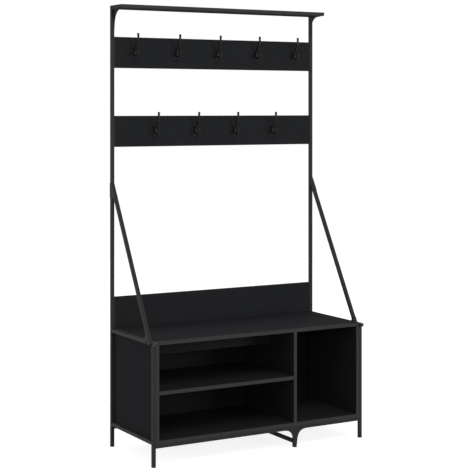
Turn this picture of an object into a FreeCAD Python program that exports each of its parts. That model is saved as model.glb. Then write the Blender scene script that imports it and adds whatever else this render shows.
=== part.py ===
import FreeCAD, Part
import math
import os

# Hall tree with hooks: a steel tube frame that carries a low bench with open compartments, a backrest, two
# hook boards with cast double hooks and a narrow top shelf.
# Millimetres. +Z is up, the front faces -Y and the left side is at -X. The origin is on the floor, under the
# middle.

V = FreeCAD.Vector

# Overall sizes
width = 1000.0          # over the outer faces of the two side frames
depth = 400.0           # front face of the legs to the rear face of the posts
height = 1840.0         # floor to the top of the top shelf

# Frame tube
tube = 14.0             # outer side of the square tube
tube_wall = 1.2
tube_round = 1.0        # outer corner radius
end_cap = 3.0           # steel plate that closes a tube end and takes a screw
rail_nose = 5.0         # length of a side top rail in front of its leg, without the plug

# Heights above the floor
foot_height = 5.0       # visible part of a plastic foot
rail_low = 74.5         # underside of the front and rear bottom rails
seat_top = 495.0
stretcher_low = 17.0
shelf_low = 282.0       # underside of the middle shelf
upper_board_gap = 115.0 # underside of the top shelf down to the upper hook board
hook_board_pitch = 330.0

# Boards
board = 15.0            # side panels, divider, bottom, middle shelf, top shelf
seat_board = 16.0
slim_board = 12.0       # hook boards and backrest
back_sheet = 3.0
back_inset = 0.5        # back panel in front of the posts' rear faces
edge_round = 0.8        # eased edges of the coated boards
hook_board_height = 130.0
backrest_height = 130.0
top_shelf_depth = 110.0
right_bay = 301.0       # clear width of the compartment right of the divider
support_front = 189.0   # front of the bench to the front of the seat support
support_height = 73.0
board_gap = 0.5         # room at each end of a board that slides in

# Braces, in the plane of each side frame
brace_top = 1100.0      # where the brace's upper edge meets the post
brace_foot_setback = 35.0   # front of the frame to the brace's front edge on the rail
plate = 1.2             # lap plates on the outer side
top_plate_height = 60.0
foot_plate_rear = 30.0  # flare behind the brace, along the rail
foot_plate_rise = 22.0
foot_plate_front = 11.0 # plate in front of the brace, along the rail
foot_plate_inset = 1.0
plate_round = 1.5

# Gussets
gusset_sheet = 3.0
shelf_gusset_reach = 72.0
shelf_gusset_drop = 84.0
shelf_gusset_lip = 1.5
leg_gusset_reach = 42.0
leg_gusset_drop = 64.0
leg_gusset_lip = 0.8
flange = 2.0            # tab under the top shelf
flange_length = 60.0

# Cast double hooks
hook_base_width = 19.0
hook_base_height = 50.0
hook_base = 3.5
hook_base_round = 1.2
hook_drop = 62.0        # from the board's top edge down to the middle of the base
hook_reach = 40.0       # board face to the middle of the upper tip
hook_bar = 4.0          # radius of the prongs
hook_tip = 4.65         # radius of the ball tips
hook_rise = 72.5        # base middle to the upper tip's middle
hook_slope = 48.0       # degrees of the upper prong's straight run
hook_bend = 50.0        # radius of the upper prong's bend
hook_cup = 17.5         # radius of the lower prong's bend
hook_lip = 3.0          # lower tip above its bend's middle
hook_boss_low = 8.5     # radius of the boss at the base
hook_boss_top = 5.0
hook_boss = 6.5
hook_boss_up = 4.0
hook_screw_offset = 18.0
upper_hooks = 5
upper_margin = 91.0     # board's ends to the first and the last hook
lower_hooks = 4
lower_margin_left = 187.2
lower_margin_right = 205.2

# Screws, bolts, pins and dowels
screw_fit = 0.05        # between a screw and its hole, all round
frame_screw_shank = 2.0
frame_screw_head = 4.0
frame_screw_length = 50.0
hook_screw_shank = 1.75
hook_screw_head = 3.5
hook_screw_length = 13.0
shelf_screw_length = 24.0
gusset_screw_length = 12.0
gusset_screw_head = 2.6
gusset_screw_head_height = 1.5
bolt_shank = 3.0
bolt_head = 5.5
bolt_head_height = 4.5
bolt_grip = 30.0        # length of the seat bolt inside the seat board
bolt_setback = 14.0     # front of the frame to the seat bolt
collar = 7.0
collar_height = 3.0
brace_screw_shank = 2.5
brace_screw_head = 4.5
brace_screw_head_height = 2.4
brace_screw_length = 8.0
foot_screw_back = 7.5   # behind the brace, on the foot plate
dome_share = 0.65       # rounding of a domed head, as a share of its height
socket_share = 0.5      # hex socket across corners, as a share of the head
socket_depth_share = 0.6
board_screw_spread = 35.0
rail_screw_y = 140.0
rear_screw_setback = 40.0
dowel = 4.0
dowel_low = 14.0
dowel_high = 10.0
dowel_y = 120.0
support_dowel_inset = 90.0
pin = 2.5
pin_length = 16.0
pin_y = 150.0
plug_lip = 8.0          # head of a rail plug, outside the tube
plug_ease = 0.8         # chamfer round the plug's face
plug_depth = 7.0
plug_fit = 0.1
foot_stem = 12.0
foot_chamfer = 1.2

# Places that follow from the sizes above
left = -width / 2
overhang = rail_nose + plug_lip
rear = (depth + overhang) / 2
front = rear - depth
inner_left = left + tube
leg_back = front + tube
post_front = rear - tube
leg_x = left + tube / 2
leg_y = front + tube / 2
post_y = rear - tube / 2
rail_top = rail_low + tube
seat_under = seat_top - seat_board
side_rail_low = seat_under - 1.0
side_rail_top = side_rail_low + tube
shelf_under = height - board
panel_right_face = inner_left + board
back_face = rear - back_inset - back_sheet
divider_right = -panel_right_face - right_bay
divider_left = divider_right - board
divider_centre = divider_right - board / 2
floor_board_top = rail_top + board
board_centre_y = post_front + slim_board / 2
side_screw_z = side_rail_low + tube / 2
bolt_y = front + bolt_setback
brace_foot = front + brace_foot_setback
lean = math.atan2(post_front - brace_foot, brace_top - side_rail_top)
upper_board_low = shelf_under - upper_board_gap - hook_board_height
lower_board_low = upper_board_low - hook_board_pitch
hook_zeros = {
    "upper": upper_board_low + hook_board_height - hook_drop,
    "lower": lower_board_low + hook_board_height - hook_drop,
}

parts = {}


def box(x0, x1, y0, y1, z0, z1):
    return Part.makeBox(x1 - x0, y1 - y0, z1 - z0, V(x0, y0, z0))


def coated_board(x0, x1, y0, y1, z0, z1):
    """A flat board whose edges are slightly eased."""
    solid = box(x0, x1, y0, y1, z0, z1)
    return solid.makeFillet(edge_round, solid.Edges)


def place(shape, base, direction):
    """Turns a shape made along +Z at the origin to a direction, and moves it to base."""
    shape.Placement = FreeCAD.Placement(base, FreeCAD.Rotation(V(0, 0, 1), direction))
    return shape


def square_bar(side, corner, length):
    solid = Part.makeBox(side, side, length, V(-side / 2, -side / 2, 0))
    upright = [e for e in solid.Edges if e.tangentAt(0).cross(V(0, 0, 1)).Length < 1e-6]
    return solid.makeFillet(corner, upright)


def tube_run(start, end):
    """Square tube with rounded corners, open at both ends, from point to point along its middle line."""
    run = end - start
    bore = tube - 2 * tube_wall
    outer = square_bar(tube, tube_round, run.Length)
    inner = Part.makeBox(bore, bore, run.Length, V(-bore / 2, -bore / 2, 0))
    return place(outer.cut(inner), start, run)


def cap_plate(middle, direction):
    """The plate that closes a tube end, made from the middle of the end face in a direction into the tube."""
    side = tube - 2 * tube_wall
    return place(Part.makeBox(side, side, end_cap, V(-side / 2, -side / 2, 0)), middle, direction)


def mirrored(shape):
    return shape.mirror(V(0, 0, 0), V(1, 0, 0))


def both_sides(name, shape):
    parts[name + "_left"] = shape
    parts[name + "_right"] = mirrored(shape)


# Fasteners ------------------------------------------------------------------------------------------------

def countersunk(head, shank, length, grow=0.0):
    """Flat-head screw from its head face at the origin down into +Z. Grown, it is the tool for its hole."""
    profile = [
        V(0, 0, 0),
        V(head + grow, 0, 0),
        V(shank + grow, 0, head - shank),
        V(shank + grow, 0, length + grow),
        V(0, 0, length + grow),
        V(0, 0, 0),
    ]
    return Part.Face(Part.makePolygon(profile)).revolve(V(0, 0, 0), V(0, 0, 1), 360)


def button_head(head, head_height, shank, length):
    """Domed socket-head bolt: head above the origin (-Z), shank below it (+Z)."""
    top = -head_height
    dome = Part.makeCylinder(head, head_height, V(0, 0, top))
    rim = [e for e in dome.Edges if e.BoundBox.ZMax < top / 2]
    dome = dome.makeFillet(head_height * dome_share, rim)
    corner = head * socket_share
    turns = [math.radians(60 * k) for k in range(7)]
    hexagon = [V(corner * math.cos(a), corner * math.sin(a), top) for a in turns]
    socket = Part.Face(Part.makePolygon(hexagon)).extrude(V(0, 0, head_height * socket_depth_share))
    return dome.cut(socket).fuse(Part.makeCylinder(shank, length))


frame_screw_places = [
    (post_front - rear_screw_setback, side_screw_z),
    (-rail_screw_y, rail_top + tube / 2),
    (rail_screw_y, rail_top + tube / 2),
    (leg_y, rail_low + tube / 2),
    (post_y, rail_low + tube / 2),
]
for low, tall in (
    (upper_board_low, hook_board_height),
    (lower_board_low, hook_board_height),
    (seat_top, backrest_height),
):
    for side in (-1, 1):
        frame_screw_places.append((board_centre_y, low + tall / 2 + side * board_screw_spread))


def frame_screw(y, z, grow=0.0):
    screw = countersunk(frame_screw_head, frame_screw_shank, frame_screw_length, grow)
    return place(screw, V(left, y, z), V(1, 0, 0))


def seat_bolt(grow=0.0):
    length = collar_height + tube + bolt_grip
    if grow:
        bolt = Part.makeCylinder(bolt_shank + grow, length + grow)
    else:
        bolt = button_head(bolt_head, bolt_head_height, bolt_shank, length)
    return place(bolt, V(left - collar_height, bolt_y, side_screw_z), V(1, 0, 0))


def cut_by(shape, tools):
    """A piece with the holes of those tools that reach into it."""
    near = [t for t in tools if t.BoundBox.intersect(shape.BoundBox)]
    return shape.cut(near) if near else shape


frame_tools = [frame_screw(y, z, screw_fit) for y, z in frame_screw_places] + [seat_bolt(screw_fit)]
frame_tools += [mirrored(t) for t in frame_tools]


def frame_cut(shape):
    """A piece with the holes of every frame screw and seat bolt that passes through it."""
    return cut_by(shape, frame_tools)


# Side frames ----------------------------------------------------------------------------------------------

def post():
    run = tube_run(V(leg_x, post_y, foot_height), V(leg_x, post_y, shelf_under))
    return run.fuse(cap_plate(V(leg_x, post_y, shelf_under), V(0, 0, -1))).removeSplitter()


def front_leg():
    return tube_run(V(leg_x, leg_y, foot_height), V(leg_x, leg_y, side_rail_low))


def side_top_rail():
    middle = side_rail_low + tube / 2
    return tube_run(V(leg_x, front - rail_nose, middle), V(leg_x, post_front, middle))


def side_bottom_rail():
    middle = rail_top + tube / 2
    return tube_run(V(leg_x, leg_back, middle), V(leg_x, post_front, middle))


def brace_edge(z):
    """How far back the brace's upper (front) edge lies at a height."""
    return post_front - (brace_top - z) * math.tan(lean)


def brace_back(z):
    return brace_edge(z) + tube / math.cos(lean)


def outer_plate(points):
    """A flat plate on the outer side of the left frame, from its outline in (y, z)."""
    corners = [V(left - plate, y, z) for y, z in points]
    sheet = Part.Face(Part.makePolygon(corners + corners[:1])).extrude(V(plate, 0, 0))
    across = [e for e in sheet.Edges if abs(e.Length - plate) < 1e-6]
    return sheet.makeFillet(plate_round, across)


def brace_screw(y, z, grow=0.0):
    if grow:
        screw = Part.makeCylinder(brace_screw_shank + grow, brace_screw_length + grow)
    else:
        screw = button_head(brace_screw_head, brace_screw_head_height, brace_screw_shank, brace_screw_length)
    return place(screw, V(left - plate, y, z), V(1, 0, 0))


brace_screw_places = [
    (post_y, brace_top - top_plate_height / 2),
    (brace_back(side_rail_top) + foot_screw_back, side_screw_z),
]
brace_cuts = Part.makeCompound([brace_screw(y, z, screw_fit) for y, z in brace_screw_places])


def brace():
    """Slanted tube, cut upright against the post and level on the rail, with a lap plate at each end."""
    up = V(0, math.sin(lean), math.cos(lean))
    across = V(0, math.cos(lean), -math.sin(lean))
    top = V(leg_x, post_front, brace_top) + across * (tube / 2)
    length = (brace_top - side_rail_top) / math.cos(lean)
    run = tube_run(top - up * (length + 2 * tube), top + up * (2 * tube))
    run = run.common(box(left, inner_left, front, post_front, side_rail_top, height))
    low = brace_top - top_plate_height
    upper = outer_plate([(rear, brace_top), (rear, low), (brace_edge(low), low), (post_front, brace_top)])
    flare = side_rail_top + foot_plate_rise
    heel = brace_back(side_rail_top) + foot_plate_rear
    toe = brace_foot - foot_plate_front
    foot = outer_plate([
        (toe, side_rail_low + foot_plate_inset),
        (heel, side_rail_low + foot_plate_inset),
        (heel, side_rail_top),
        (brace_back(flare), flare),
        (brace_edge(flare), flare),
        (brace_edge(side_rail_top), side_rail_top),
        (toe, side_rail_top),
    ])
    return run.fuse([upper, foot]).removeSplitter().cut(brace_cuts)


def gusset_sheet_of(reach, drop, lip):
    """Plate with two straight sides and a hollow free edge: X away from the upright, Y down, Z through."""
    z = -gusset_sheet / 2
    corner, toe, heel = V(0, 0, z), V(reach, lip, z), V(lip, drop, z)
    hollow = Part.BezierCurve()
    hollow.setPoles([toe, V(lip, lip, z), heel])
    edges = [
        Part.LineSegment(corner, V(reach, 0, z)),
        Part.LineSegment(V(reach, 0, z), toe),
        hollow,
        Part.LineSegment(heel, V(0, drop, z)),
        Part.LineSegment(V(0, drop, z), corner),
    ]
    return Part.Face(Part.Wire([e.toShape() for e in edges])).extrude(V(0, 0, gusset_sheet))


def gusset_screw(grow=0.0):
    """Pan-head screw up through the gusset's tab, beside the sheet, into the top shelf."""
    at = V(leg_x - gusset_sheet / 2, post_front - flange_length / 2, shelf_under - flange)
    if grow:
        screw = Part.makeCylinder(hook_screw_shank + grow, gusset_screw_length + grow)
    else:
        shank = Part.makeCylinder(hook_screw_shank, gusset_screw_length)
        seat = V(0, 0, -gusset_screw_head_height)
        head = Part.makeCylinder(gusset_screw_head, gusset_screw_head_height, seat)
        screw = shank.fuse(head)
    screw.translate(at)
    return screw


def shelf_gusset():
    sheet = gusset_sheet_of(shelf_gusset_reach, shelf_gusset_drop, shelf_gusset_lip)
    sheet.Placement = FreeCAD.Placement(
        V(inner_left - gusset_sheet / 2, post_front, shelf_under),
        FreeCAD.Rotation(V(0, -1, 0), V(0, 0, -1), V(1, 0, 0)),
    )
    tab = box(left, inner_left, post_front - flange_length, post_front, shelf_under - flange, shelf_under)
    return sheet.fuse(tab).removeSplitter().cut(gusset_screw(screw_fit))


def shelf_screw(grow=0.0):
    screw = countersunk(frame_screw_head, frame_screw_shank, shelf_screw_length, grow)
    return place(screw, V(leg_x, post_y, height), V(0, 0, -1))


both_sides("post", frame_cut(post()).cut(shelf_screw(screw_fit)).cut(brace_cuts))
both_sides("leg_front", frame_cut(front_leg()))
both_sides("rail_side_top", frame_cut(side_top_rail()).cut(brace_cuts))
both_sides("rail_side_bottom", frame_cut(side_bottom_rail()))
both_sides("brace", brace())
both_sides("shelf_gusset", shelf_gusset())


# Rails and middle legs between the side frames --------------------------------------------------------------

def bottom_rail(y):
    middle = rail_low + tube / 2
    ends = [V(inner_left, y, middle), V(-inner_left, y, middle)]
    caps = [cap_plate(ends[0], V(1, 0, 0)), cap_plate(ends[1], V(-1, 0, 0))]
    return frame_cut(tube_run(*ends).fuse(caps).removeSplitter())


def leg_gusset(y, side):
    """Sheet between a middle leg and the rail over it, centred on y."""
    sheet = gusset_sheet_of(leg_gusset_reach, leg_gusset_drop, leg_gusset_lip)
    corner = V(divider_centre + side * tube / 2, y, rail_low)
    sheet.Placement = FreeCAD.Placement(corner, FreeCAD.Rotation(V(side, 0, 0), V(0, 0, -1), V(0, side, 0)))
    return sheet


half_sheet = gusset_sheet / 2
for name, y, sheet_y in (("front", leg_y, front + half_sheet), ("rear", post_y, rear - half_sheet)):
    parts["rail_bottom_" + name] = bottom_rail(y)
    parts["leg_middle_" + name] = tube_run(V(divider_centre, y, foot_height), V(divider_centre, y, rail_low))
    parts["leg_gusset_" + name + "_left"] = leg_gusset(sheet_y, -1)
    parts["leg_gusset_" + name + "_right"] = leg_gusset(sheet_y, 1)
stretcher_z = stretcher_low + tube / 2
parts["stretcher_middle"] = tube_run(
    V(divider_centre, leg_back, stretcher_z), V(divider_centre, post_front, stretcher_z)
)


# Plastic feet and plugs -------------------------------------------------------------------------------------

def foot(x, y):
    """Pad under a leg with a stem pushed into the tube."""
    pad = box(x - tube / 2, x + tube / 2, y - tube / 2, y + tube / 2, 0, foot_height)
    sole = [e for e in pad.Edges if e.BoundBox.ZMax < 1e-6]
    stem = tube / 2 - tube_wall - plug_fit
    return pad.makeChamfer(foot_chamfer, sole).fuse(
        box(x - stem, x + stem, y - stem, y + stem, foot_height, foot_height + foot_stem)
    )


both_sides("foot_front", foot(leg_x, leg_y))
both_sides("foot_rear", foot(leg_x, post_y))
parts["foot_middle_front"] = foot(divider_centre, leg_y)
parts["foot_middle_rear"] = foot(divider_centre, post_y)


def rail_plug():
    """Closes the front end of a side top rail."""
    middle = side_rail_low + tube / 2
    bar = square_bar(tube, tube_round, plug_lip)
    rim = [e for e in bar.Edges if e.BoundBox.ZMax < 1e-6]
    lip = place(bar.makeChamfer(plug_ease, rim), V(leg_x, front - overhang, middle), V(0, 1, 0))
    stem = tube / 2 - tube_wall - plug_fit
    start = front - rail_nose
    return lip.fuse(box(leg_x - stem, leg_x + stem, start, start + plug_depth, middle - stem, middle + stem))


both_sides("rail_plug", rail_plug())


# Boards -----------------------------------------------------------------------------------------------------

def stood_dowel(x, y, joint, grow=0.0):
    """Wooden dowel across a level joint between a lower and an upper board."""
    length = dowel_low + dowel_high + 2 * grow
    return Part.makeCylinder(dowel + grow, length, V(x, y, joint - dowel_low - grow))


panel_centre = inner_left + board / 2
support_y = front + support_front + board / 2
shelf_left = panel_right_face + board_gap
shelf_right = divider_left - board_gap
support_dowels = (shelf_left + support_dowel_inset, shelf_right - support_dowel_inset)
dowel_places = [(x, support_y, seat_under) for x in support_dowels]
for y in (-dowel_y, dowel_y):
    dowel_places += [(x, y, seat_under) for x in (panel_centre, -panel_centre, divider_centre)]
    dowel_places.append((divider_centre, y, floor_board_top))


def shelf_pin(x, y, grow=0.0):
    """Pin half inside an upright board, just under the middle shelf."""
    cylinder = Part.makeCylinder(pin + grow, pin_length + 2 * grow)
    return place(cylinder, V(x - pin_length / 2 - grow, y, shelf_low - pin), V(1, 0, 0))


pin_places = [(x, y) for x in (panel_right_face, divider_left) for y in (-pin_y, pin_y)]
board_tools = [stood_dowel(x, y, z, screw_fit) for x, y, z in dowel_places]
board_tools += [shelf_pin(x, y, screw_fit) for x, y in pin_places]


def fitted(*span):
    """A board over the given span, with its screw, dowel and pin holes."""
    return cut_by(frame_cut(coated_board(*span)), board_tools)


both_sides("side_panel", fitted(inner_left, panel_right_face, front, back_face, rail_top, seat_under))
parts["bottom_board"] = fitted(
    panel_right_face, -panel_right_face, front, back_face, rail_top, floor_board_top
)
parts["divider"] = fitted(divider_left, divider_right, front, back_face, floor_board_top, seat_under)
parts["middle_shelf"] = fitted(shelf_left, shelf_right, front, back_face, shelf_low, shelf_low + board)
support_span = (support_y - board / 2, support_y + board / 2, seat_under - support_height, seat_under)
parts["seat_support"] = fitted(shelf_left, shelf_right, *support_span)
parts["seat_board"] = fitted(inner_left, -inner_left, front, rear, seat_under, seat_top)
back_left = inner_left + board_gap
parts["back_panel"] = box(back_left, -back_left, back_face, back_face + back_sheet, rail_top, seat_under)
for name, low, tall in (
    ("backrest", seat_top, backrest_height),
    ("hook_board_lower", lower_board_low, hook_board_height),
    ("hook_board_upper", upper_board_low, hook_board_height),
):
    parts[name] = fitted(inner_left, -inner_left, post_front, post_front + slim_board, low, low + tall)
top_shelf = coated_board(left, -left, rear - top_shelf_depth, rear, shelf_under, height)
for hole in (shelf_screw(screw_fit), gusset_screw(screw_fit)):
    top_shelf = top_shelf.cut(hole).cut(mirrored(hole))
parts["top_shelf"] = top_shelf


# Hooks ------------------------------------------------------------------------------------------------------

def hook_screw(z, grow=0.0):
    """Countersunk in the hook's base. Hooks are made at the origin: the board's face is y = 0, out is -Y."""
    screw = countersunk(hook_screw_head, hook_screw_shank, hook_screw_length, grow)
    return place(screw, V(0, -hook_base, z), V(0, 1, 0))


def bent_bar(centre, radius, start, sweep):
    """Quarter or half of a ring of round bar in the YZ plane, from an angle above straight out (-Y)."""
    ring = Part.makeTorus(radius, hook_bar, V(0, 0, 0), V(0, 0, 1), -180, 180, sweep)
    turned = FreeCAD.Rotation(V(0, -1, 0), V(0, 0, 1), V(-1, 0, 0))
    ring.Placement = FreeCAD.Placement(centre, turned.multiply(FreeCAD.Rotation(V(0, 0, 1), start)))
    return ring


def hook_base_plate():
    """Tall plate with round ends and a softened front edge."""
    half = hook_base_height / 2 - hook_base_width / 2
    middle = Part.makeBox(hook_base_width, hook_base, 2 * half, V(-hook_base_width / 2, -hook_base, -half))
    ends = [Part.makeCylinder(hook_base_width / 2, hook_base, V(0, 0, z), V(0, -1, 0)) for z in (-half, half)]
    solid = middle.fuse(ends).removeSplitter()
    rim = [e for e in solid.Edges if e.BoundBox.YMax < -hook_base + 1e-6]
    return solid.makeFillet(hook_base_round, rim)


def cast_hook():
    """Base plate, boss, a long upper prong and a short cupped lower prong, both with ball tips."""
    slope = math.radians(hook_slope)
    half_turn = math.degrees(math.pi)
    lie = half_turn / 2 - hook_slope
    bend_reach = hook_bend * (1 - math.sin(slope))
    bend_rise = hook_bend * math.cos(slope)
    root = V(0, -hook_bar, hook_boss_up)
    slant = V(0, -math.cos(slope), math.sin(slope))
    run = (hook_reach - hook_bar - bend_reach) / math.cos(slope)
    knee = root + slant * run
    bend_centre = V(0, -hook_reach + hook_bend, knee.z + bend_rise)
    tip = V(0, -hook_reach, hook_rise)
    cup_centre = V(0, -hook_bar - hook_base / 2 - hook_cup, 0)
    cup_end = V(0, cup_centre.y - hook_cup, 0)
    boss_seat = V(0, -hook_base / 2, hook_boss_up)
    pieces = [
        Part.makeCone(hook_boss_low, hook_boss_top, hook_boss, boss_seat, V(0, -1, 0)),
        Part.makeCylinder(hook_bar, run, root, slant),
        bent_bar(bend_centre, hook_bend, -lie, lie),
        Part.makeCylinder(hook_bar, hook_rise - bend_centre.z, V(0, -hook_reach, bend_centre.z), V(0, 0, 1)),
        Part.makeSphere(hook_tip, tip),
        bent_bar(cup_centre, hook_cup, -half_turn, half_turn),
        Part.makeCylinder(hook_bar, hook_lip, cup_end, V(0, 0, 1)),
        Part.makeSphere(hook_tip, cup_end + V(0, 0, hook_lip)),
    ]
    body = hook_base_plate().fuse(pieces).removeSplitter()
    for z in (-hook_screw_offset, hook_screw_offset):
        body = body.cut(hook_screw(z, screw_fit))
    return body


hook = cast_hook()
hook_places = {}
for row, count, start, end in (
    ("upper", upper_hooks, inner_left + upper_margin, -inner_left - upper_margin),
    ("lower", lower_hooks, inner_left + lower_margin_left, -inner_left - lower_margin_right),
):
    for k in range(count):
        x = start + (end - start) * k / (count - 1)
        hook_places["hook_%s_%d" % (row, k + 1)] = V(x, post_front, hook_zeros[row])
hook_screws = []
hook_holes = []
for name, at in hook_places.items():
    parts[name] = hook.translated(at)
    for z in (-hook_screw_offset, hook_screw_offset):
        hook_screws.append(hook_screw(z).translated(at))
        hook_holes.append(hook_screw(z, screw_fit).translated(at))
for name in ("hook_board_lower", "hook_board_upper"):
    parts[name] = cut_by(parts[name], hook_holes)


# Grouped fasteners ------------------------------------------------------------------------------------------

def pair(shape):
    return [shape, mirrored(shape)]


def group(name, solids):
    parts[name] = Part.makeCompound(solids)


ring = Part.makeCylinder(collar, collar_height).cut(Part.makeCylinder(bolt_shank + screw_fit, collar_height))
seat_collar = place(ring, V(left - collar_height, bolt_y, side_screw_z), V(1, 0, 0))
group("seat_bolts", pair(seat_bolt()))
group("seat_bolt_collars", pair(seat_collar))
group("frame_screws", [s for y, z in frame_screw_places for s in pair(frame_screw(y, z))])
group("brace_screws", [s for y, z in brace_screw_places for s in pair(brace_screw(y, z))])
group("shelf_screws", pair(shelf_screw()))
group("gusset_screws", pair(gusset_screw()))
group("hook_screws", hook_screws)
group("dowels", [stood_dowel(x, y, z) for x, y, z in dowel_places])
group("shelf_pins", [shelf_pin(x, y) for x, y in pin_places])

os.makedirs("parts", exist_ok=True)
for name, shape in parts.items():
    shape.exportStep("parts/" + name + ".step")
print(len(parts), "nodes")
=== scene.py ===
import math
import bmesh
import bpy
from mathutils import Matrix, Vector


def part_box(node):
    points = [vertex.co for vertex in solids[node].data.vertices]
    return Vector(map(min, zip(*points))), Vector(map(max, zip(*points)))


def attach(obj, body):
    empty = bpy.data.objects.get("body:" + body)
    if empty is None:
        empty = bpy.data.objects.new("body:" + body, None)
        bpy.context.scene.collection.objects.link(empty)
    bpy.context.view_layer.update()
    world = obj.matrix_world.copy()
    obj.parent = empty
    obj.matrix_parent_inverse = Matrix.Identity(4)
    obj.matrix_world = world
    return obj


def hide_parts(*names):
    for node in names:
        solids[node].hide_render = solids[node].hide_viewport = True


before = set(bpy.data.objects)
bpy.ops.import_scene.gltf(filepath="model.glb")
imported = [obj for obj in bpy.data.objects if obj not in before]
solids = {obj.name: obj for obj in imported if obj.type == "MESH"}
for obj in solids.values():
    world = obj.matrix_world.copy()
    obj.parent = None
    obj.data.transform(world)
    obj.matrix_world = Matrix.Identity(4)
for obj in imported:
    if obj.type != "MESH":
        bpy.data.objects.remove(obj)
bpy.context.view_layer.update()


# Steel side frames, rails and middle legs -------------------------------------------------------------------
# Square steel tube with rounded corners, welded into two side frames that the rails and middle legs join. The
# frame is powder coated black: a thin, slightly pebbled coat with a soft sheen.

def add(tree, kind, inputs=(), **settings):
    """A node in a tree. Each input, named or numbered, takes a value or another node's output."""
    made = tree.nodes.new(kind)
    for key, value in settings.items():
        setattr(made, key, value)
    for socket, value in dict(inputs).items():
        if isinstance(value, bpy.types.NodeSocket):
            tree.links.new(value, made.inputs[socket])
        else:
            made.inputs[socket].default_value = value
    return made


def finish(name, roughness, specular):
    """A material, its tree and shader, and the Object coordinates that its patterns read."""
    made = bpy.data.materials.new(name)
    made.use_nodes = True
    shader = made.node_tree.nodes["Principled BSDF"]
    shader.inputs["Roughness"].default_value = roughness
    shader.inputs["Specular IOR Level"].default_value = specular
    place = add(made.node_tree, "ShaderNodeTexCoord").outputs["Object"]
    return made, made.node_tree, shader, place


def noise(tree, place, scale, detail=2.0):
    """A soft random pattern from 0 to 1: scale is in waves to the metre."""
    return add(tree, "ShaderNodeTexNoise", {"Vector": place, "Scale": scale, "Detail": detail}).outputs["Fac"]


def between(tree, amount, low, high):
    """A number between two, by an amount from 0 to 1."""
    return add(tree, "ShaderNodeMapRange", {"Value": amount, "To Min": low, "To Max": high}).outputs["Result"]


def tinted(tree, amount, low, high):
    """A colour between two, by an amount from 0 to 1."""
    return add(tree, "ShaderNodeMix", {0: amount, 6: low, 7: high}, data_type="RGBA").outputs[2]


def raised(tree, shader, height, depth, strength=1.0):
    """Relief on the surface: depth is the pattern's real height in metres."""
    bump = add(tree, "ShaderNodeBump", {"Strength": strength, "Distance": depth, "Height": height})
    tree.links.new(bump.outputs["Normal"], shader.inputs["Normal"])


def powder_coat():
    """Near black with a breath of green, in faint clouds, over a fine pebble."""
    made, tree, shader, place = finish("powder_coat_black", roughness=0.38, specular=0.025)
    clouds = noise(tree, place, 14.0, 4.0)
    pebble = noise(tree, place, 950.0, 3.0)
    coat = tinted(tree, clouds, (0.0236, 0.0246, 0.0242, 1), (0.0310, 0.0321, 0.0316, 1))
    tree.links.new(coat, shader.inputs["Base Color"])
    tree.links.new(between(tree, clouds, 0.34, 0.44), shader.inputs["Roughness"])
    raised(tree, shader, pebble, depth=0.0002, strength=0.25)
    return made


def dress(names, material):
    """Gives solids their finish."""
    for name in names:
        solids[name].material_slots[0].material = material


steel = powder_coat()
tubes = ("post_", "leg_front", "leg_middle", "rail_side", "rail_bottom", "stretcher")
dress([n for n in solids if n.startswith(tubes)], steel)


# Weld beads -------------------------------------------------------------------------------------------------
# Short fillet welds in the inner corners where tube meets tube and where the gussets meet the tubes. Each
# bead is a row of small overlapping ripples under the same coat.

bead_radius = 0.0011
ripple_pitch = 0.0012
ripple_least = 0.85     # the smallest and largest ripple, as shares of the bead
ripple_most = 1.12
corner_clear = 0.0015   # a seam's ends stay inside the tube's rounded corners
tack = 0.014            # length of a short seam along a gusset
tack_inset = 0.006      # from the gusset's thick end to its first tack
tack_rise = 0.030       # from the shelf gusset's tip to its lower tack
tack_drop = 0.004       # from the rail down to the tack on a middle leg
tie_clear = 0.001       # a seam on the stretcher's side stays inside its corners


def seam_mesh(name, seams):
    """One edge for each seam, from its start to its end."""
    mesh = bpy.data.meshes.new(name)
    points = [tuple(p) for seam in seams for p in seam]
    mesh.from_pydata(points, [(2 * k, 2 * k + 1) for k in range(len(seams))], [])
    return mesh


def plain_tree(name, sockets):
    """A Geometry Nodes tree with the named inputs, and what its Group Input gives."""
    tree = bpy.data.node_groups.new(name, "GeometryNodeTree")
    tree.interface.new_socket(name="Geometry", in_out="INPUT", socket_type="NodeSocketGeometry")
    for label, kind in sockets.items():
        tree.interface.new_socket(name=label, in_out="INPUT", socket_type="NodeSocket" + kind)
    tree.interface.new_socket(name="Geometry", in_out="OUTPUT", socket_type="NodeSocketGeometry")
    return tree, add(tree, "NodeGroupInput").outputs


def close_tree(tree, geometry, given, smooth=True):
    """Ends a tree: the copies are made real, shaded and given the tree's material."""
    real = add(tree, "GeometryNodeRealizeInstances", {"Geometry": geometry}).outputs["Geometry"]
    shaded = add(tree, "GeometryNodeSetShadeSmooth", {"Geometry": real, "Shade Smooth": smooth}).outputs[0]
    painted = add(tree, "GeometryNodeSetMaterial", {"Geometry": shaded, "Material": given["Material"]})
    add(tree, "NodeGroupOutput", {"Geometry": painted.outputs["Geometry"]})


def grown(name, mesh, tree, values):
    """The object that a tree makes from a mesh, as a plain mesh that rides on the frame."""
    piece = bpy.data.objects.new(name, mesh)
    bpy.context.scene.collection.objects.link(piece)
    modifier = piece.modifiers.new(name, "NODES")
    modifier.node_group = tree
    for item in tree.interface.items_tree:
        if item.in_out == "INPUT" and item.name in values:
            modifier[item.identifier] = values[item.name]
    bpy.context.view_layer.update()
    made = bpy.data.meshes.new_from_object(piece.evaluated_get(bpy.context.evaluated_depsgraph_get()))
    piece.modifiers.clear()
    made.name = name
    piece.data = made
    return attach(piece, "root")


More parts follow.
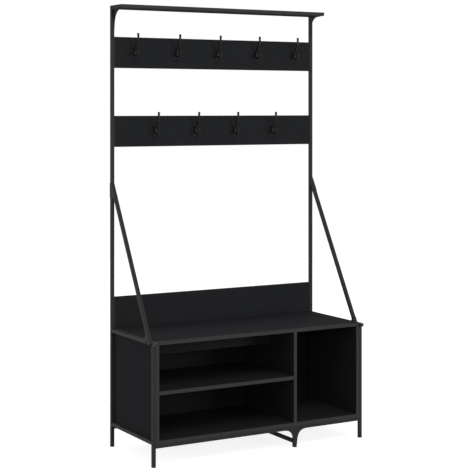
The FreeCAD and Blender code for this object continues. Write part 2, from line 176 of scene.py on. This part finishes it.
def weld_tree():
    """Ripples of slightly uneven size, one at each step along the seams."""
    tree, given = plain_tree("weld_bead", {"Bead Radius": "Float", "Pitch": "Float", "Material": "Material"})
    line = add(tree, "GeometryNodeMeshToCurve", {"Mesh": given["Geometry"]}).outputs["Curve"]
    stops = add(tree, "GeometryNodeResampleCurve", {"Curve": line, "Length": given["Pitch"]}, mode="LENGTH")
    ball = {"Segments": 8, "Rings": 5, "Radius": given["Bead Radius"]}
    ripple = add(tree, "GeometryNodeMeshUVSphere", ball)
    limits = {2: ripple_least, 3: ripple_most, "Seed": 4}
    size = add(tree, "FunctionNodeRandomValue", limits, data_type="FLOAT").outputs[1]
    copies = add(
        tree,
        "GeometryNodeInstanceOnPoints",
        {"Points": stops.outputs["Curve"], "Instance": ripple.outputs["Mesh"], "Scale": size},
    )
    close_tree(tree, copies.outputs["Instances"], given)
    return tree


def across(x_from, x_to, y, z):
    """A seam that runs across a tube, just inside its rounded corners."""
    return Vector((x_from + corner_clear, y, z)), Vector((x_to - corner_clear, y, z))


sheet_low, sheet_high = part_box("leg_gusset_front_left")
sheet = sheet_high.y - sheet_low.y
seams = []
for side in ("left", "right"):
    leg_low, leg_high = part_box("leg_front_" + side)
    post_low, post_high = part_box("post_" + side)
    top_low, top_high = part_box("rail_side_top_" + side)
    low_low, low_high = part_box("rail_side_bottom_" + side)
    for y, z in (
        (leg_high.y, top_low.z),
        (post_low.y, top_low.z),
        (post_low.y, top_high.z),
        (leg_high.y, low_low.z),
        (leg_high.y, low_high.z),
        (post_low.y, low_low.z),
        (post_low.y, low_high.z),
    ):
        seams.append(across(leg_low.x, leg_high.x, y, z))
    gusset_low, gusset_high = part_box("shelf_gusset_" + side)
    x = post_high.x - sheet if side == "left" else post_low.x + sheet
    for top in (gusset_high.z - tack_inset, gusset_low.z + tack + tack_rise):
        seams.append((Vector((x, post_low.y, top)), Vector((x, post_low.y, top - tack))))
for row in ("front", "rear"):
    leg_low, leg_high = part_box("leg_middle_" + row)
    tie_low, tie_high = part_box("stretcher_middle")
    tie_end = tie_low.y if row == "front" else tie_high.y
    for z in (tie_low.z, tie_high.z):
        seams.append(across(leg_low.x, leg_high.x, tie_end, z))
    sheet_low, sheet_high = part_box("leg_gusset_" + row + "_left")
    y = sheet_high.y if row == "front" else sheet_low.y
    for x, outward in ((leg_low.x, -1), (leg_high.x, 1)):
        tie_bottom, tie_top = tie_low.z + tie_clear, tie_high.z - tie_clear
        seams.append((Vector((x, tie_end, tie_bottom)), Vector((x, tie_end, tie_top))))
        tack_top = leg_high.z - tack_drop
        seams.append((Vector((x, y, tack_top)), Vector((x, y, tack_top - tack))))
        near, far = x + outward * tack_inset, x + outward * (tack_inset + tack)
        seams.append((Vector((near, y, leg_high.z)), Vector((far, y, leg_high.z))))
welds = grown(
    "weld_beads",
    seam_mesh("weld_seams", seams),
    weld_tree(),
    {"Bead Radius": bead_radius, "Pitch": ripple_pitch, "Material": steel},
)


# Braces and gussets -----------------------------------------------------------------------------------------
# A leaning tube on each side with pressed lap plates and its screws, the curved sheets under the top shelf
# and those of the middle legs. All are coated with the frame.

dress([n for n in solids if n.startswith(("brace_", "shelf_gusset", "leg_gusset"))], steel)


# Feet, rail plugs and collars -------------------------------------------------------------------------------
# Black moulded polythene with a fine spark-eroded grain from the mould and a dull sheen. The plugs and
# collars are coloured a paler black than the feet: painted light, standing in for the light their faces
# reflect.

def moulded_black(name, deep, pale):
    """A black between a deep and a pale grey, both a little blue."""
    made, tree, shader, place = finish(name, roughness=0.4, specular=0.2)
    clouds = noise(tree, place, 60.0, 3.0)
    shade = tinted(tree, clouds, (deep, deep, deep * 1.1, 1), (pale, pale, pale * 1.07, 1))
    tree.links.new(shade, shader.inputs["Base Color"])
    tree.links.new(between(tree, noise(tree, place, 400.0), 0.34, 0.48), shader.inputs["Roughness"])
    raised(tree, shader, noise(tree, place, 2600.0, 3.0), depth=0.0001, strength=0.3)
    return made


feet = [n for n in solids if n.startswith("foot_")]
plugs = [n for n in solids if n.startswith(("rail_plug", "seat_bolt_collars"))]
dress(feet, moulded_black("moulded_black", deep=0.002, pale=0.0045))
# The plugs' and collars' paler black is painted light: it stands in for the light their faces reflect.
dress(plugs, moulded_black("moulded_black_plugs_painted_light", deep=0.011, pale=0.016))


# Bench boards, backrest and top shelf -----------------------------------------------------------------------
# Particle board with a black melamine face, pressed with a faint long grain, and a slightly lighter plastic
# band glued round its narrow edges. Each board's grain runs along its longest side.

band_thickness = 0.0009
grain_across = 170.0    # the grain's waves to the metre, across a board and along it
grain_along = 3.5


def calc(tree, operation, *values):
    """The result of a Math node."""
    return add(tree, "ShaderNodeMath", dict(enumerate(values)), operation=operation).outputs[0]


def coated_board(name):
    """The finish of one board: a grained face and, on its four narrow sides, the plain band."""
    low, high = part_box(name)
    middle = (low + high) / 2
    half = (high - low) / 2
    short, long = sorted(range(3), key=lambda k: half[k])[1:]
    made, tree, shader, place = finish("melamine_" + name, roughness=0.85, specular=0.015)
    centred = add(tree, "ShaderNodeMapping", {"Vector": place, "Location": -middle}).outputs["Vector"]
    apart = add(tree, "ShaderNodeSeparateXYZ", {"Vector": centred})
    edges = []
    for axis in (short, long):
        away = calc(tree, "ABSOLUTE", apart.outputs[axis])
        edges.append(calc(tree, "GREATER_THAN", away, half[axis] - band_thickness))
    band = calc(tree, "MAXIMUM", *edges)
    stretch = [grain_across] * 3
    stretch[long] = grain_along
    drawn = add(tree, "ShaderNodeMapping", {"Vector": centred, "Scale": stretch}).outputs["Vector"]
    fibre = noise(tree, drawn, 1.0, 5.0)
    clouds = noise(tree, place, 5.0, 3.0)
    face = tinted(tree, fibre, (0.0124, 0.0129, 0.0141, 1), (0.0196, 0.0204, 0.0219, 1))
    edge = tinted(tree, clouds, (0.0345, 0.0352, 0.0352, 1), (0.0420, 0.0428, 0.0428, 1))
    tree.links.new(tinted(tree, band, face, edge), shader.inputs["Base Color"])
    sheen = calc(tree, "ADD", between(tree, fibre, 0.0, 0.12), between(tree, clouds, 0.76, 0.88))
    tree.links.new(sheen, shader.inputs["Roughness"])
    raised(tree, shader, fibre, depth=0.00025, strength=0.4)
    return made


boards = [n for n in solids if n.startswith(("side_panel", "hook_board"))]
boards += ["seat_board", "bottom_board", "divider", "middle_shelf", "seat_support", "backrest", "top_shelf"]
for board in boards:
    dress([board], coated_board(board))


# Back panel and its nails -----------------------------------------------------------------------------------
# Thin hardboard, painted on its smooth side and nailed to the rear edges of the boards with small round heads
# about every 100 mm.

nail_head = 0.0019
nail_crown = 0.6        # the flat on top, as a share of the head
nail_rise = 0.00045
nail_pitch = 0.1
nail_inset = 0.0075
nail_start = nail_pitch * 0.9   # from the bottom row to the first nail of an upright row


def hardboard_paint_and_painted_shade():
    """A thin flat paint over the sheet's faint fine pattern, its colour darkened as painted shade."""
    made, tree, shader, place = finish("hardboard_paint_and_painted_shade", roughness=0.85, specular=0.015)
    clouds = noise(tree, place, 8.0, 4.0)
    weave = add(tree, "ShaderNodeTexVoronoi", {"Vector": place, "Scale": 420.0}).outputs["Distance"]
    # Darker than the board faces: painted shade, standing in for the shade inside the compartments that this
    # panel closes.
    paint = tinted(tree, clouds, (0.0098, 0.0101, 0.0103, 1), (0.0147, 0.0152, 0.0154, 1))
    tree.links.new(paint, shader.inputs["Base Color"])
    tree.links.new(between(tree, clouds, 0.65, 0.82), shader.inputs["Roughness"])
    raised(tree, shader, weave, depth=0.0002, strength=0.35)
    return made


dress(["back_panel"], hardboard_paint_and_painted_shade())


def nail_tree():
    """Flat round heads along the rows, facing the back."""
    sockets = {"Head": "Float", "Rise": "Float", "Pitch": "Float", "Material": "Material"}
    tree, given = plain_tree("panel_nails", sockets)
    line = add(tree, "GeometryNodeMeshToCurve", {"Mesh": given["Geometry"]}).outputs["Curve"]
    stops = add(tree, "GeometryNodeResampleCurve", {"Curve": line, "Length": given["Pitch"]}, mode="LENGTH")
    crown = calc(tree, "MULTIPLY", given["Head"], nail_crown)
    head = add(
        tree,
        "GeometryNodeMeshCone",
        {"Vertices": 12, "Radius Bottom": given["Head"], "Radius Top": crown, "Depth": given["Rise"]},
    )
    copies = add(
        tree,
        "GeometryNodeInstanceOnPoints",
        {
            "Points": stops.outputs["Curve"],
            "Instance": head.outputs["Mesh"],
            "Rotation": (-math.pi / 2, 0.0, 0.0),
        },
    )
    close_tree(tree, copies.outputs["Instances"], given, smooth=False)
    return tree


def dark_steel(name, roughness):
    """Steel with a black oxide skin, a little uneven."""
    made, tree, shader, place = finish(name, roughness, specular=0.15)
    shader.inputs["Metallic"].default_value = 0.35
    clouds = noise(tree, place, 300.0, 3.0)
    oxide = tinted(tree, clouds, (0.005, 0.005, 0.0055, 1), (0.013, 0.013, 0.0135, 1))
    tree.links.new(oxide, shader.inputs["Base Color"])
    raised(tree, shader, noise(tree, place, 1800.0), depth=0.00008, strength=0.3)
    return made


panel_low, panel_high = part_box("back_panel")
divider_low, divider_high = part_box("divider")
left, right = panel_low.x + nail_inset, panel_high.x - nail_inset
bottom, top = panel_low.z + nail_inset, panel_high.z - nail_inset
split = (divider_low.x + divider_high.x) / 2
nail_lines = [
    (Vector((x0, panel_high.y, z0)), Vector((x1, panel_high.y, z1)))
    for x0, z0, x1, z1 in (
        (left, bottom, right, bottom),
        (left, bottom + nail_start, left, top),
        (right, bottom + nail_start, right, top),
        (split, bottom + nail_start, split, top),
    )
]
nail_steel = dark_steel("nail_steel", roughness=0.4)
nails = grown(
    "back_panel_nails",
    seam_mesh("nail_lines", nail_lines),
    nail_tree(),
    {"Head": nail_head, "Rise": nail_rise, "Pitch": nail_pitch, "Material": nail_steel},
)


# Cast double hooks ------------------------------------------------------------------------------------------
# Zinc castings with a base plate, a long upper prong and a short cupped lower prong, each with a ball tip.
# The metal flows together in a stout root, and the casting is painted satin black.

millimetre = 0.001      # this section's sizes are in millimetres
plate_width = 19.0
plate_height = 50.0
plate_thick = 3.5
plate_rim = 1.2         # radius of the plate's front rim
root_up = 4.0           # where the upper prong leaves the plate, above its middle
prong_slope = math.radians(48.0)
prong_bend = 50.0       # radius of the bend from the sloping run to the upright tip
prong_reach = 40.0
prong_rise = 73.5
prong_radii = (5.4, 4.8, 4.7, 4.6)
cup_radius = 17.5       # the lower prong is half a ring with a short upright lip
cup_lip = 3.0
cup_radii = (5.6, 4.7, 4.2)
tip_radius = 5.4
root_line = ((9.0, 8.0), (12.5, 2.0), (12.8, -6.0), (12.0, -13.0))
root_radii = (5.4, 6.5, 7.3, 6.8)
boss_line = ((0.5, root_up), (3.0, root_up), (5.5, root_up), (8.5, root_up + 1.0))
boss_radii = (8.5, 7.6, 6.2, 4.6)
screw_spread = 18.0     # from the plate's middle to each screw
sink_mouth = 4.6        # the drill's radius, 1 mm in front of the plate
sink_tip = 1.6          # its radius 2 mm deep
sink_middle = 0.5       # its middle's depth
sink_depth = 3.0
plate_sides = 48        # from here on, how finely the casting is made
rim_steps = 4
bar_sides = 20
run_steps = 6
bend_steps = 10
cup_steps = 18
skin_cell = 0.0005      # metres
skin_softness = 0.5
skin_passes = 5
skin_kept = 0.3         # share of the faces that is kept


def prong(mesh, line, radii):
    """A round bar along points given as (forward, up), with its radius spread over its length."""
    rings = []
    for k, (forward, up) in enumerate(line):
        before, after = line[max(k - 1, 0)], line[min(k + 1, len(line) - 1)]
        heading = math.atan2(after[1] - before[1], after[0] - before[0])
        place = k / (len(line) - 1) * (len(radii) - 1)
        step = min(int(place), len(radii) - 2)
        radius = radii[step] + (radii[step + 1] - radii[step]) * (place - step)
        ring = []
        for j in range(bar_sides):
            turn = 2 * math.pi * j / bar_sides
            lift = radius * math.sin(turn)
            ring.append(mesh.verts.new((
                radius * math.cos(turn),
                -(forward - lift * math.sin(heading)),
                up + lift * math.cos(heading),
            )))
        rings.append(ring)
    for a, b in zip(rings, rings[1:]):
        for j in range(bar_sides):
            mesh.faces.new((a[j], a[j - 1], b[j - 1], b[j]))
    mesh.faces.new(rings[0])
    mesh.faces.new(rings[-1][::-1])


def hook_plate(mesh):
    """The base plate: a long rounded outline, drawn in at its front rim in small steps."""
    outline = []
    straight = (plate_height - plate_width) / 2
    for k in range(plate_sides):
        turn = 2 * math.pi * (k + 0.5) / plate_sides
        outline.append((math.cos(turn), math.sin(turn), straight if math.sin(turn) > 0 else -straight))
    levels = [(0.0, 0.0), (plate_thick - plate_rim, 0.0)]
    for k in range(1, rim_steps + 1):
        turn = math.pi / 2 * k / rim_steps
        levels.append((plate_thick - plate_rim * (1 - math.sin(turn)), plate_rim * (1 - math.cos(turn))))
    rings = []
    for forward, drawn_in in levels:
        radius = plate_width / 2 - drawn_in
        rings.append([mesh.verts.new((c * radius, -forward, s * radius + mid)) for c, s, mid in outline])
    for a, b in zip(rings, rings[1:]):
        for j in range(plate_sides):
            mesh.faces.new((a[j], a[j - 1], b[j - 1], b[j]))
    mesh.faces.new(rings[0])
    mesh.faces.new(rings[-1][::-1])


def cast_hook():
    """One hook in metres, its base's middle at the origin and its front towards -Y."""
    mesh = bmesh.new()
    hook_plate(mesh)
    knee_forward = prong_reach - prong_bend * (1 - math.sin(prong_slope))
    knee_up = root_up + (knee_forward - prong_radii[1]) * math.tan(prong_slope)
    start = prong_radii[1]
    line = []
    for k in range(run_steps):
        forward = start + (knee_forward - start) * k / run_steps
        line.append((forward, root_up + (knee_up - root_up) * k / run_steps))
    centre = (prong_reach - prong_bend, knee_up + prong_bend * math.cos(prong_slope))
    for k in range(bend_steps + 1):
        turn = prong_slope + (math.pi / 2 - prong_slope) * k / bend_steps
        line.append((centre[0] + prong_bend * math.sin(turn), centre[1] - prong_bend * math.cos(turn)))
    line.append((prong_reach, prong_rise))
    prong(mesh, line, prong_radii)
    cup = (prong_radii[1] + plate_thick / 2 + cup_radius, 0.0)
    bowl = []
    for k in range(cup_steps + 1):
        turn = math.pi * k / cup_steps
        bowl.append((cup[0] - cup_radius * math.cos(turn), -cup_radius * math.sin(turn)))
    bowl.append((cup[0] + cup_radius, cup_lip))
    prong(mesh, bowl, cup_radii)
    prong(mesh, boss_line, boss_radii)
    prong(mesh, root_line, root_radii)
    for forward, up in ((prong_reach, prong_rise), (cup[0] + cup_radius, cup_lip)):
        ball = bmesh.ops.create_uvsphere(mesh, u_segments=24, v_segments=14, radius=tip_radius)
        bmesh.ops.translate(mesh, verts=ball["verts"], vec=(0, -forward, up))
    bmesh.ops.scale(mesh, verts=mesh.verts, vec=(millimetre,) * 3)
    bmesh.ops.recalc_face_normals(mesh, faces=mesh.faces)
    rough = bpy.data.meshes.new("cast_hook")
    mesh.to_mesh(rough)
    mesh.free()
    return rough


def countersinks():
    """The two cones that the screw heads sit in."""
    mesh = bmesh.new()
    for up in (-screw_spread, screw_spread):
        cone = bmesh.ops.create_cone(
            mesh, cap_ends=True, segments=32, radius1=sink_mouth, radius2=sink_tip, depth=sink_depth
        )
        for vertex in cone["verts"]:
            x, y, z = vertex.co
            vertex.co = (x, z - plate_thick + sink_middle, y + up)
    bmesh.ops.scale(mesh, verts=mesh.verts, vec=(millimetre,) * 3)
    bmesh.ops.recalc_face_normals(mesh, faces=mesh.faces)
    made = bpy.data.meshes.new("countersinks")
    mesh.to_mesh(made)
    mesh.free()
    return made


def flowed(rough, holes):
    """The casting: its forms melted into one skin, softened where they meet, then drilled."""
    piece = bpy.data.objects.new("hook_casting", rough)
    tool = bpy.data.objects.new("hook_drill", holes)
    for made in (piece, tool):
        bpy.context.scene.collection.objects.link(made)
    skin = piece.modifiers.new("skin", "REMESH")
    skin.mode = "VOXEL"
    skin.voxel_size = skin_cell
    soft = piece.modifiers.new("soft", "SMOOTH")
    soft.factor = skin_softness
    soft.iterations = skin_passes
    fewer = piece.modifiers.new("fewer", "DECIMATE")
    fewer.ratio = skin_kept
    drill = piece.modifiers.new("drill", "BOOLEAN")
    drill.operation = "DIFFERENCE"
    drill.object = tool
    bpy.context.view_layer.update()
    made = bpy.data.meshes.new_from_object(piece.evaluated_get(bpy.context.evaluated_depsgraph_get()))
    for spent in (piece, tool):
        bpy.data.objects.remove(spent)
    for vertex in made.vertices:
        vertex.co.y = min(vertex.co.y, 0.0)
    return made


def hook_tree():
    """A copy of the casting on each of a board's hook seats."""
    tree, given = plain_tree("hook_row", {"Hook": "Object", "Material": "Material"})
    hook = add(tree, "GeometryNodeObjectInfo", {"Object": given["Hook"]}).outputs["Geometry"]
    copies = add(tree, "GeometryNodeInstanceOnPoints", {"Points": given["Geometry"], "Instance": hook})
    close_tree(tree, copies.outputs["Instances"], given)
    return tree


def satin_paint():
    """Thin satin paint that lets the casting's slightly uneven skin show."""
    made, tree, shader, place = finish("satin_black_casting", roughness=0.36, specular=0.2)
    clouds = noise(tree, place, 120.0, 4.0)
    paint = tinted(tree, clouds, (0.0016, 0.0016, 0.0019, 1), (0.0038, 0.0038, 0.0042, 1))
    tree.links.new(paint, shader.inputs["Base Color"])
    tree.links.new(between(tree, clouds, 0.36, 0.46), shader.inputs["Roughness"])
    raised(tree, shader, noise(tree, place, 420.0, 3.0), depth=0.0003, strength=0.25)
    return made


casting = bpy.data.objects.new("hook_pattern", flowed(cast_hook(), countersinks()))
bpy.context.scene.collection.objects.link(casting)
hook_rows = hook_tree()
hook_paint = satin_paint()
for row in ("upper", "lower"):
    names = sorted(n for n in solids if n.startswith("hook_" + row))
    seats = bpy.data.meshes.new("hook_seats_" + row)
    places = []
    for name in names:
        low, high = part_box(name)
        places.append(((low.x + high.x) / 2, high.y, low.z + plate_height / 2 * millimetre))
    seats.from_pydata(places, [], [])
    hooks = grown("cast_hooks_" + row, seats, hook_rows, {"Hook": casting, "Material": hook_paint})
    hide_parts(*names)
bpy.data.objects.remove(casting)


# Countersunk screws -----------------------------------------------------------------------------------------
# Black cross-head screws: through the tubes into the boards and rails, down through the top shelf, and in
# each hook's base. Every head stands turned as the driver left it.

slot_span = 1.15        # the cross from end to end, as a share of the head's radius
cutter_height = 1.5     # as a share of the head's taper; half of the cutter stands above the head


def screw_tree():
    """A flat head with a cross cut into it and a plain shank, on every seat, turned at random."""
    sockets = {name: "Float" for name in ("Head", "Shank", "Length", "Slot")}
    sockets.update({"Seed": "Int", "Material": "Material"})
    tree, given = plain_tree("cross_head_screw", sockets)
    taper = calc(tree, "SUBTRACT", given["Head"], given["Shank"])
    down = calc(tree, "MULTIPLY", taper, -1.0)
    cone = add(
        tree,
        "GeometryNodeMeshCone",
        {"Vertices": 24, "Radius Bottom": given["Shank"], "Radius Top": given["Head"], "Depth": taper},
    ).outputs["Mesh"]
    sunk = add(tree, "ShaderNodeCombineXYZ", {"Z": down}).outputs["Vector"]
    head = add(tree, "GeometryNodeTransform", {"Geometry": cone, "Translation": sunk}).outputs["Geometry"]
    arm = calc(tree, "MULTIPLY", given["Head"], slot_span)
    cut = calc(tree, "MULTIPLY", taper, cutter_height)
    cutting = add(tree, "GeometryNodeMeshBoolean", {"Mesh 1": head}, operation="DIFFERENCE", solver="EXACT")
    for axes in ({"X": arm, "Y": given["Slot"], "Z": cut}, {"X": given["Slot"], "Y": arm, "Z": cut}):
        size = add(tree, "ShaderNodeCombineXYZ", axes).outputs["Vector"]
        cutter = add(tree, "GeometryNodeMeshCube", {"Size": size}).outputs["Mesh"]
        tree.links.new(cutter, cutting.inputs["Mesh 2"])
    rod = add(
        tree,
        "GeometryNodeMeshCylinder",
        {"Vertices": 16, "Radius": given["Shank"], "Depth": given["Length"]},
    ).outputs["Mesh"]
    middle = calc(tree, "MULTIPLY_ADD", given["Length"], -0.5, down)
    lower = add(tree, "ShaderNodeCombineXYZ", {"Z": middle}).outputs["Vector"]
    shank = add(tree, "GeometryNodeTransform", {"Geometry": rod, "Translation": lower}).outputs["Geometry"]
    whole = add(tree, "GeometryNodeJoinGeometry")
    tree.links.new(cutting.outputs["Mesh"], whole.inputs["Geometry"])
    tree.links.new(shank, whole.inputs["Geometry"])
    facing = add(tree, "GeometryNodeInputNamedAttribute", {"Name": "facing"}, data_type="FLOAT_VECTOR")
    aim = add(tree, "FunctionNodeAlignRotationToVector", {"Vector": facing.outputs["Attribute"]}, axis="Z")
    limits = {2: 0.0, 3: math.pi / 2, "Seed": given["Seed"]}
    turn = add(tree, "FunctionNodeRandomValue", limits, data_type="FLOAT").outputs[1]
    spin = add(tree, "FunctionNodeAxisAngleToRotation", {"Axis": (0, 0, 1), "Angle": turn})
    turned = add(
        tree,
        "FunctionNodeRotateRotation",
        {"Rotation": aim.outputs["Rotation"], "Rotate By": spin.outputs["Rotation"]},
        rotation_space="LOCAL",
    )
    copies = add(
        tree,
        "GeometryNodeInstanceOnPoints",
        {
            "Points": given["Geometry"],
            "Instance": whole.outputs["Geometry"],
            "Rotation": turned.outputs["Rotation"],
        },
    )
    close_tree(tree, copies.outputs["Instances"], given, smooth=False)
    return tree


def screws_in(name):
    """The lowest and highest corner of each separate screw of a node, from left to right."""
    mesh = bmesh.new()
    mesh.from_mesh(solids[name].data)
    bmesh.ops.remove_doubles(mesh, verts=mesh.verts, dist=1e-6)
    found, left_over = [], set(mesh.verts)
    while left_over:
        group, waiting = [], [left_over.pop()]
        while waiting:
            vertex = waiting.pop()
            group.append(vertex)
            near = {edge.other_vert(vertex) for edge in vertex.link_edges} & left_over
            left_over -= near
            waiting += near
        places = [vertex.co for vertex in group]
        low = Vector([min(p[k] for p in places) for k in range(3)])
        high = Vector([max(p[k] for p in places) for k in range(3)])
        found.append((low, high))
    mesh.free()
    return sorted(found, key=lambda box: tuple(round(c, 5) for c in box[0]))


def set_screws(name, axis, towards, head, shank, length, slot, seed):
    """Screws in place of a node's plain ones. The heads face one way along the axis, or outwards with 0."""
    seats, ways = [], []
    for low, high in screws_in(name):
        seat = (low + high) / 2
        side = towards or (-1 if seat[axis] < 0 else 1)
        seat[axis] = high[axis] if side > 0 else low[axis]
        way = [0.0, 0.0, 0.0]
        way[axis] = float(side)
        seats.append(seat)
        ways.append(way)
    mesh = bpy.data.meshes.new(name + "_seats")
    mesh.from_pydata(seats, [], [])
    facing = mesh.attributes.new("facing", "FLOAT_VECTOR", "POINT")
    for item, way in zip(facing.data, ways):
        item.vector = way
    values = {"Head": head, "Shank": shank, "Length": length, "Slot": slot, "Seed": seed}
    values["Material"] = screw_steel
    screws = grown(name + "_cross_head", mesh, cross_heads, values)
    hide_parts(name)


screw_steel = dark_steel("black_oxide", roughness=0.5)
cross_heads = screw_tree()
set_screws("frame_screws", axis=0, towards=0, head=0.004, shank=0.002, length=0.046, slot=0.0011, seed=1)
set_screws("shelf_screws", axis=2, towards=1, head=0.004, shank=0.002, length=0.020, slot=0.0011, seed=2)
set_screws("hook_screws", axis=1, towards=-1, head=0.0035, shank=0.00175, length=0.010, slot=0.0010, seed=3)


# Domed bolts, pins and dowels -------------------------------------------------------------------------------
# Domed bolts with a hex socket hold the seat, and pan-head screws the gusset tabs. Plain steel pins carry the
# middle shelf, and beech dowels locate the boards.

def plain_steel():
    """Zinc-plated steel, faintly streaked."""
    made, tree, shader, place = finish("zinc_plated", roughness=0.35, specular=0.5)
    shader.inputs["Metallic"].default_value = 1.0
    streaks = noise(tree, place, 220.0, 3.0)
    zinc = tinted(tree, streaks, (0.42, 0.42, 0.43, 1), (0.58, 0.58, 0.57, 1))
    tree.links.new(zinc, shader.inputs["Base Color"])
    tree.links.new(between(tree, streaks, 0.28, 0.45), shader.inputs["Roughness"])
    return made


def beech():
    """Turned beech with its grain along the dowel."""
    made, tree, shader, place = finish("beech", roughness=0.6, specular=0.3)
    drawn = add(tree, "ShaderNodeMapping", {"Vector": place, "Scale": (900.0, 900.0, 40.0)}).outputs["Vector"]
    fibre = noise(tree, drawn, 1.0, 4.0)
    wood = tinted(tree, fibre, (0.40, 0.25, 0.12, 1), (0.58, 0.40, 0.22, 1))
    tree.links.new(wood, shader.inputs["Base Color"])
    raised(tree, shader, fibre, depth=0.0001, strength=0.4)
    return made


dress(["seat_bolts", "gusset_screws"], screw_steel)
dress(["shelf_pins"], plain_steel())
dress(["dowels"], beech())


# Studio -----------------------------------------------------------------------------------------------------
# A pale floor under a white room. Soft lamps stand low beside the left end and on both sides in front, one
# hangs high in front and one high behind. The lens is long, and its height is about that of the lower hooks.

floor_reach = 40.0
floor_grey = 0.4
floor_white = 0.85      # what the floor adds for the eye and for mirrors: with its own grey it is white
room_light = 0.4
room_white = 1.0


def seen_as_white(tree):
    """1 for what the eye, a mirror or glass sees of the studio, and 0 for what lights the object."""
    ray = add(tree, "ShaderNodeLightPath").outputs
    seen = ray["Is Camera Ray"]
    for kind in ("Is Glossy Ray", "Is Transmission Ray"):
        seen = calc(tree, "MAXIMUM", seen, ray[kind])
    return seen


floor_mesh = bpy.data.meshes.new("studio_floor")
floor_corners = [(x * floor_reach, y * floor_reach, 0.0) for x, y in ((-1, -1), (1, -1), (1, 1), (-1, 1))]
floor_mesh.from_pydata(floor_corners, [], [(0, 1, 2, 3)])
floor = bpy.data.objects.new("studio_floor", floor_mesh)
bpy.context.scene.collection.objects.link(floor)
floor_paint = bpy.data.materials.new("studio_white")
floor_paint.use_nodes = True
floor_tree = floor_paint.node_tree
floor_shader = floor_tree.nodes["Principled BSDF"]
floor_shader.inputs["Base Color"].default_value = (floor_grey, floor_grey, floor_grey, 1)
floor_shader.inputs["Roughness"].default_value = 0.9
floor_shader.inputs["Specular IOR Level"].default_value = 0.0
floor_share = calc(floor_tree, "MULTIPLY", seen_as_white(floor_tree), floor_white)
floor_glow = add(floor_tree, "ShaderNodeEmission", {"Color": (1, 1, 1, 1), "Strength": floor_share})
floor_sum = add(floor_tree, "ShaderNodeAddShader", {0: floor_shader.outputs[0], 1: floor_glow.outputs[0]})
floor_tree.links.new(floor_sum.outputs["Shader"], floor_tree.nodes["Material Output"].inputs["Surface"])
floor_mesh.materials.append(floor_paint)

room = bpy.data.worlds.new("white_room")
bpy.context.scene.world = room
room.use_nodes = True
room_tree = room.node_tree
room_soft = room_tree.nodes["Background"]
room_soft.inputs["Color"].default_value = (1, 1, 1, 1)
room_soft.inputs["Strength"].default_value = room_light
room_wall = add(room_tree, "ShaderNodeBackground", {"Color": (1, 1, 1, 1), "Strength": room_white})
room_mix = add(
    room_tree,
    "ShaderNodeMixShader",
    {0: seen_as_white(room_tree), 1: room_soft.outputs[0], 2: room_wall.outputs[0]},
)
room_tree.links.new(room_mix.outputs["Shader"], room_tree.nodes["World Output"].inputs["Surface"])


def soft_lamp(name, place, aim, size, power):
    """A square lamp of the given side in metres and power in watts, turned to face its aim."""
    light = bpy.data.lights.new(name, "AREA")
    light.shape = "SQUARE"
    light.size = size
    light.energy = power
    lamp = bpy.data.objects.new(name, light)
    bpy.context.scene.collection.objects.link(lamp)
    lamp.location = place
    lamp.rotation_euler = (Vector(aim) - Vector(place)).to_track_quat("-Z", "Y").to_euler()


soft_lamp("lamp_left", place=(-4.2, 2.6, 1.0), aim=(0, 0, 0.5), size=2.2, power=96.0)
soft_lamp("lamp_front_left", place=(-2.4, -4.8, 1.5), aim=(0, 0, 0.8), size=2.6, power=52.0)
soft_lamp("lamp_front_high", place=(-0.5, -5.0, 6.2), aim=(0, 0, 0.9), size=3.4, power=180.0)
soft_lamp("lamp_front_right", place=(3.4, -5.9, 1.1), aim=(0, 0, 0.6), size=2.4, power=162.0)
soft_lamp("lamp_rear", place=(0.8, 5.8, 5.2), aim=(0, 0, 0.9), size=3.6, power=100.0)

lens = bpy.data.cameras.new("camera")
lens.sensor_width = 36.0
lens.lens = 104.05
lens.shift_y = -0.2685
camera = bpy.data.objects.new("camera", lens)
bpy.context.scene.collection.objects.link(camera)
camera.location = (-2.8787, -4.9688, 1.4094)
camera.rotation_euler = (math.pi / 2, 0.0, math.radians(-29.943))
bpy.context.scene.camera = camera
bpy.context.scene.view_settings.view_transform = "Standard"
